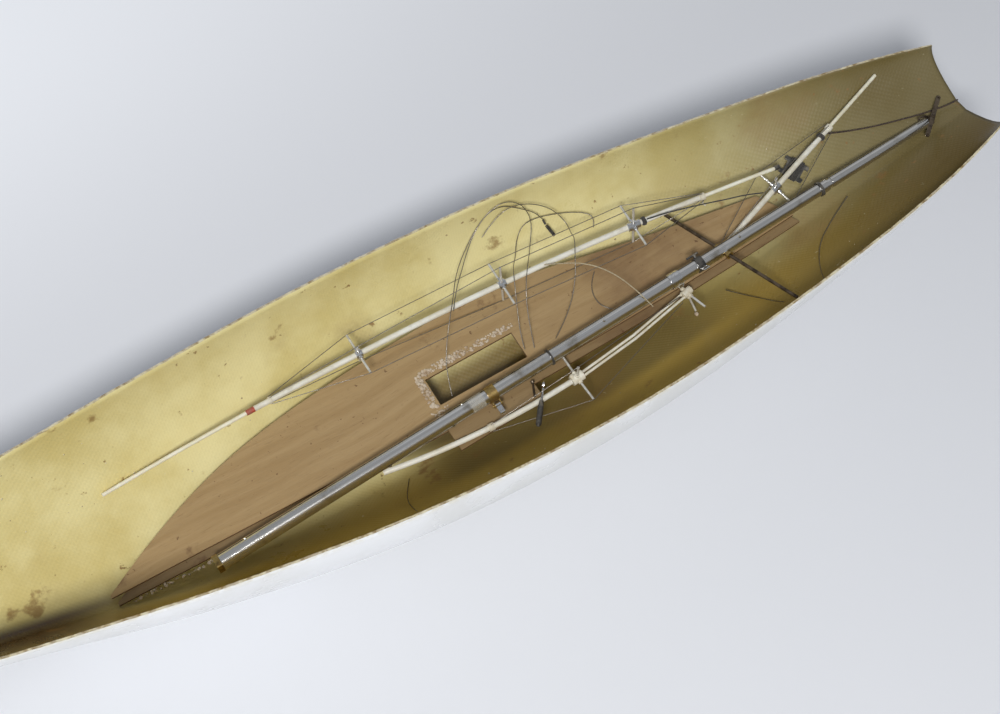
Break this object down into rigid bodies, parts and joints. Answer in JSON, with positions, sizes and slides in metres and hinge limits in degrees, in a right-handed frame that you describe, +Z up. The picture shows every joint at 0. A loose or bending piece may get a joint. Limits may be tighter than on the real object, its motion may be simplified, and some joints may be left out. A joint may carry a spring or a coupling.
{
  "type": "rc sailboat",
  "caption": "Open moulded hull of a radio control sailing yacht with its mast, stayed spars, deck panels and loose rigging stowed inside.",
  "frame": {"origin": "on the plane of the keel flat, midway along the hull and midway across the beam", "axes": "+X to the open stern, -X to the bow, +Y to starboard, +Z up"},
  "size_m": [1.27, 0.2518, 0.1941],
  "materials": {
    "hull_laminate": "glossy resin with open weave inside, white gel coat outside",
    "plywood": "thin plywood, lightly sealed, stained along its glued edges",
    "sealant": "crumbled old sealant",
    "mast_aluminium": "drawn and anodised, lightly scratched",
    "aged_brass": "tarnished",
    "polished_steel": "bright, finely brushed",
    "clear_tape": "clear tape, slightly yellowed",
    "black_plastic": "moulded, slightly shiny",
    "dark_steel": "blackened and rust-browned",
    "white_spar": "smooth white tube",
    "cream_rod": "smooth off-white rod",
    "white_plastic": "moulded, slightly yellowed",
    "hub_metal": "bright turned metal",
    "clear_arm": "smoky translucent rod",
    "stay_wire": "fine twisted wire",
    "red_tape": "faded red tape",
    "black_line": "thin braided line",
    "brown_line": "waxed braided line",
    "white_line": "plastic covered line",
    "loose_wire": "springy multi-strand wire"
  },
  "bodies": {
    "hull": {"hull_shell": "hull_laminate", "loose_wire_6": "loose_wire", "loose_wire_7": "loose_wire", "loose_wire_8": "loose_wire"},
    "panel_lower": {"deck_panel_lower": "plywood"},
    "hatch_cover": {"hatch_cover": "plywood"},
    "loose_screw": {"loose_screw": "dark_steel"},
    "panel_upper": {"deck_panel_upper": "plywood", "hatch_sealant": "sealant", "loose_wire_5": "loose_wire"},
    "spar_a": {"spar_a_tube": "white_spar", "spar_a_tip": "cream_rod", "spar_a_tape": "red_tape", "spar_a_collars": "white_plastic", "spar_a_hubs": "hub_metal", "spar_a_arms": "clear_arm", "spar_a_stays": "stay_wire", "spar_a_knot": "black_line", "loose_wire_1": "loose_wire", "loose_wire_2": "loose_wire", "loose_wire_3": "loose_wire", "loose_wire_4": "loose_wire", "wire_crimps": "black_plastic", "white_cord": "white_line", "black_cord": "black_line"},
    "spar_a_heel": {"spar_a_heel": "cream_rod", "spar_a_heel_plug": "black_plastic"},
    "spar_b": {"spar_b_tube": "white_spar", "spar_b_fittings": "white_plastic", "spar_b_hub": "hub_metal", "spar_b_arms": "clear_arm", "spar_b_stays": "stay_wire", "spar_b_knot": "black_line", "brown_cord": "brown_line", "line_winder": "black_plastic", "line_hank": "black_line"},
    "spar_b_tip": {"spar_b_tip": "cream_rod"},
    "spar_c": {"spar_c_tube": "white_spar", "spar_c_rods": "white_spar", "spar_c_fittings": "white_plastic", "spar_c_arms": "clear_arm", "spar_c_stays": "stay_wire"},
    "turnbuckle_barrel": {"turnbuckle_barrel": "black_plastic"},
    "turnbuckle_stud": {"turnbuckle_stud": "polished_steel"},
    "mast": {"mast_tube": "mast_aluminium", "mast_top_tube": "mast_aluminium", "mast_ferrule": "mast_aluminium", "mast_foot_plug": "aged_brass", "mast_fasteners": "polished_steel", "mast_tape": "clear_tape", "mast_rings": "black_plastic", "gooseneck_band": "aged_brass", "mast_clamp": "polished_steel", "cleat_band": "black_plastic", "spreader_bush": "aged_brass", "masthead_plug": "dark_steel"},
    "gooseneck_tang": {"gooseneck_tang": "polished_steel"},
    "shackle": {"band_shackle": "polished_steel"},
    "spreader_rod": {"spreader_rod": "dark_steel"},
    "masthead_crane": {"masthead_crane": "dark_steel"}
  },
  "joints": [
    {"name": "panel_lower_lift", "type": "slide", "parent": "hull", "child": "panel_lower", "axis": [0, 0, 1], "range_m": [0, 0.02]},
    {"name": "hatch_cover_lift", "type": "slide", "parent": "panel_lower", "child": "hatch_cover", "axis": [0, 0, 1], "range_m": [0, 0.02]},
    {"name": "loose_screw_lift", "type": "slide", "parent": "hatch_cover", "child": "loose_screw", "axis": [0, 0, 1], "range_m": [0, 0.005]},
    {"name": "panel_upper_lift", "type": "slide", "parent": "hatch_cover", "child": "panel_upper", "axis": [0, 0, 1], "range_m": [0, 0.02]},
    {"name": "spar_b_lift", "type": "slide", "parent": "panel_upper", "child": "spar_b", "axis": [0, 0, 1], "range_m": [0, 0.02]},
    {"name": "spar_c_lift", "type": "slide", "parent": "spar_b", "child": "spar_c", "axis": [0, 0, 1], "range_m": [0, 0.02]},
    {"name": "mast_lift", "type": "slide", "parent": "spar_c", "child": "mast", "axis": [0, 0, 1], "range_m": [0, 0.02]},
    {"name": "spar_a_lift", "type": "slide", "parent": "mast", "child": "spar_a", "axis": [0, 0, 1], "range_m": [0, 0.02]},
    {"name": "spar_a_heel_slide", "type": "slide", "parent": "spar_a", "child": "spar_a_heel", "axis": [0.9877, -0.1426, 0.0639], "range_m": [-0.005, 0]},
    {"name": "spar_b_tip_slide", "type": "slide", "parent": "spar_b", "child": "spar_b_tip", "axis": [0.9279, 0.2614, 0.2657], "range_m": [-0.02, 0]},
    {"name": "turnbuckle_turn", "type": "hinge", "parent": "spar_c", "child": "turnbuckle_barrel", "pos_m": [0.14967, -0.04759, 0.06318], "axis": [-0.5972, -0.7329, -0.3258], "range_deg": [-1085, 1085]},
    {"name": "turnbuckle_thread", "type": "slide", "parent": "spar_c", "child": "turnbuckle_stud", "axis": [-0.5972, -0.7329, -0.3258], "range_m": [-0.0015, 0.0015]},
    {"name": "gooseneck_swing", "type": "hinge", "parent": "mast", "child": "gooseneck_tang", "pos_m": [0.12003, -0.02686, 0.07115], "axis": [0.9933, 0.0388, 0.1084], "range_deg": [-50, 50]},
    {"name": "shackle_swing", "type": "hinge", "parent": "mast", "child": "shackle", "pos_m": [0.33859, -0.0155, 0.10305], "axis": [0.9933, 0.0388, 0.1084], "range_deg": [-40, 40]},
    {"name": "spreader_slide", "type": "slide", "parent": "mast", "child": "spreader_rod", "axis": [-0.2361, 0.9638, -0.1242], "range_m": [0, 0.02]},
    {"name": "masthead_crane_turn", "type": "hinge", "parent": "mast", "child": "masthead_crane", "pos_m": [0.5995, -0.0005, 0.136], "axis": [0, 0, 1], "range_deg": [-40, 3]}
  ],
  "couplings": [
    {"joint": "turnbuckle_turn", "follows": "turnbuckle_thread", "rad_per_m": 12566}
  ]
}
